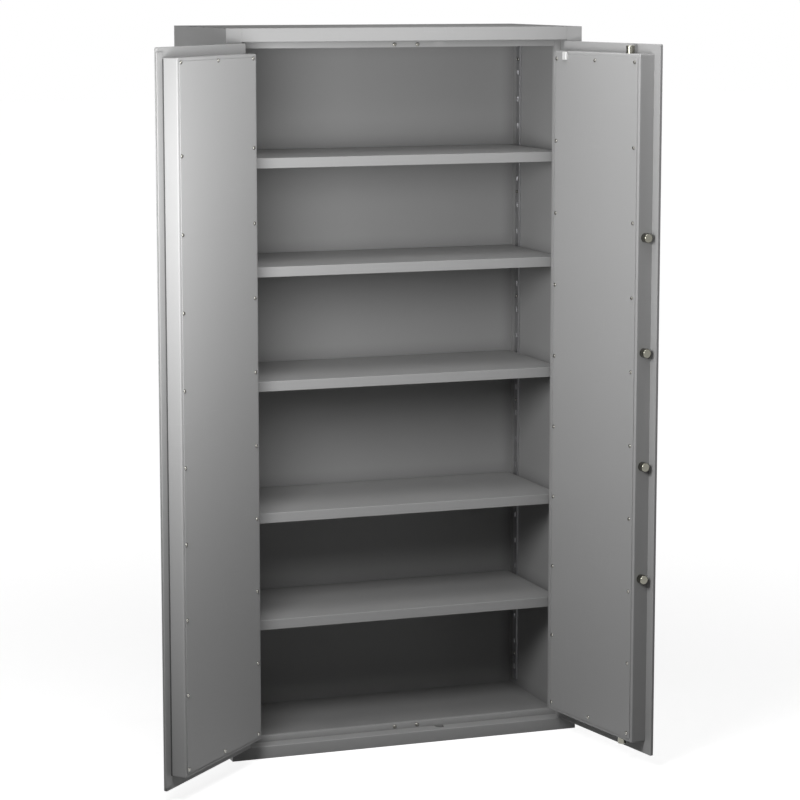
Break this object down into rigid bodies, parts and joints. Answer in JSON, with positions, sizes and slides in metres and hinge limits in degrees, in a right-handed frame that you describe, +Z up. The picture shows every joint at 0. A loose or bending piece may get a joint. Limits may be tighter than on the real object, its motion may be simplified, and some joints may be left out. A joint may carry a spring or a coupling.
{
  "type": "fireproof safe cabinet",
  "caption": "Tall grey fireproof filing cabinet with two insulated hinged doors, rack and pinion boltwork worked by a lever handle, and shelves for files.",
  "frame": {"origin": "middle of the carcass's base, on the floor", "axes": "+X to the right seen from the front, +Y towards the back, +Z up; the doors open at rest, the left by 135.3 degrees and the right by 99.4 degrees"},
  "size_m": [1.3327, 0.9515, 1.95],
  "materials": {
    "grey_paint": "satin",
    "frame_paint": "satin",
    "bright_steel": "satin",
    "plain_steel": "matte",
    "gypsum_board": "matte",
    "heat_seal": "matte",
    "white_nylon": "satin",
    "lever_black": "satin"
  },
  "bodies": {
    "carcass": {"rim_left": "grey_paint", "rim_right": "grey_paint", "rim_top": "grey_paint", "rim_bottom": "grey_paint", "left_side_panel": "grey_paint", "right_side_panel": "grey_paint", "top_panel": "grey_paint", "base_panel": "grey_paint", "back_panel": "grey_paint", "inner_frame_left": "frame_paint", "inner_frame_right": "frame_paint", "inner_frame_top": "frame_paint", "inner_frame_bottom": "frame_paint", "heat_seal": "heat_seal", "left_insulation": "gypsum_board", "right_insulation": "gypsum_board", "top_insulation": "gypsum_board", "base_insulation": "gypsum_board", "back_insulation": "gypsum_board", "inner_liner": "grey_paint", "shelf_1": "grey_paint", "shelf_2": "grey_paint", "shelf_3": "grey_paint", "shelf_4": "grey_paint", "shelf_5": "grey_paint", "shelf_rail_left_front": "plain_steel", "shelf_rail_left_rear": "plain_steel", "shelf_rail_right_front": "plain_steel", "shelf_rail_right_rear": "plain_steel", "hinge_frame_left_lower": "plain_steel", "hinge_frame_left_upper": "plain_steel", "hinge_frame_right_lower": "plain_steel", "hinge_frame_right_upper": "plain_steel"},
    "left_door": {"left_door_skin": "grey_paint", "left_door_casing": "grey_paint", "left_door_insulation": "gypsum_board", "left_door_cover": "grey_paint", "meeting_strip": "grey_paint", "hinge_door_left_lower": "plain_steel", "hinge_door_left_upper": "plain_steel"},
    "right_door": {"right_door_skin": "grey_paint", "right_door_casing": "grey_paint", "right_door_insulation": "gypsum_board", "right_door_cover": "grey_paint", "hinge_door_right_lower": "plain_steel", "hinge_door_right_upper": "plain_steel", "buffer_block": "white_nylon", "boltwork_channel": "plain_steel", "lock_case": "plain_steel", "keyhole_rose": "bright_steel"},
    "handle": {"lever_handle": "lever_black", "spindle_pinion": "plain_steel"},
    "side_boltwork": {"bolt_bar": "plain_steel", "side_bolt_1": "bright_steel", "side_bolt_2": "bright_steel", "side_bolt_3": "bright_steel", "side_bolt_4": "bright_steel"},
    "top_rod": {"top_bolt_rod": "bright_steel"},
    "bottom_rod": {"bottom_bolt_rod": "bright_steel"},
    "lock_slide": {"lock_bolt": "bright_steel"}
  },
  "joints": [
    {"name": "left_door_hinge", "type": "hinge", "parent": "carcass", "child": "left_door", "pos_m": [-0.456, -0.2515, 0.305], "axis": [0, 0, -1], "range_deg": [-135.3, 39.7]},
    {"name": "right_door_hinge", "type": "hinge", "parent": "carcass", "child": "right_door", "pos_m": [0.456, -0.2515, 0.305], "axis": [0, 0, 1], "range_deg": [-99.4, 75.6]},
    {"name": "handle_turn", "type": "hinge", "parent": "right_door", "child": "handle", "pos_m": [0.48225, -0.60293, 1], "axis": [-0.9866, -0.1633, 0], "range_deg": [0, 90]},
    {"name": "side_bolts_slide", "type": "slide", "parent": "right_door", "child": "side_boltwork", "axis": [0.1633, -0.9866, 0], "range_m": [0, 0.022]},
    {"name": "top_bolt_slide", "type": "slide", "parent": "right_door", "child": "top_rod", "axis": [0, 0, 1], "range_m": [0, 0.022]},
    {"name": "bottom_bolt_slide", "type": "slide", "parent": "right_door", "child": "bottom_rod", "axis": [0, 0, -1], "range_m": [0, 0.022]},
    {"name": "lock_bolt_slide", "type": "slide", "parent": "right_door", "child": "lock_slide", "axis": [0, 0, 1], "range_m": [0, 0.0095]}
  ],
  "couplings": [
    {"joint": "side_bolts_slide", "follows": "handle_turn", "m_per_rad": 0.014006},
    {"joint": "top_bolt_slide", "follows": "handle_turn", "m_per_rad": 0.014006},
    {"joint": "bottom_bolt_slide", "follows": "handle_turn", "m_per_rad": 0.014006}
  ]
}
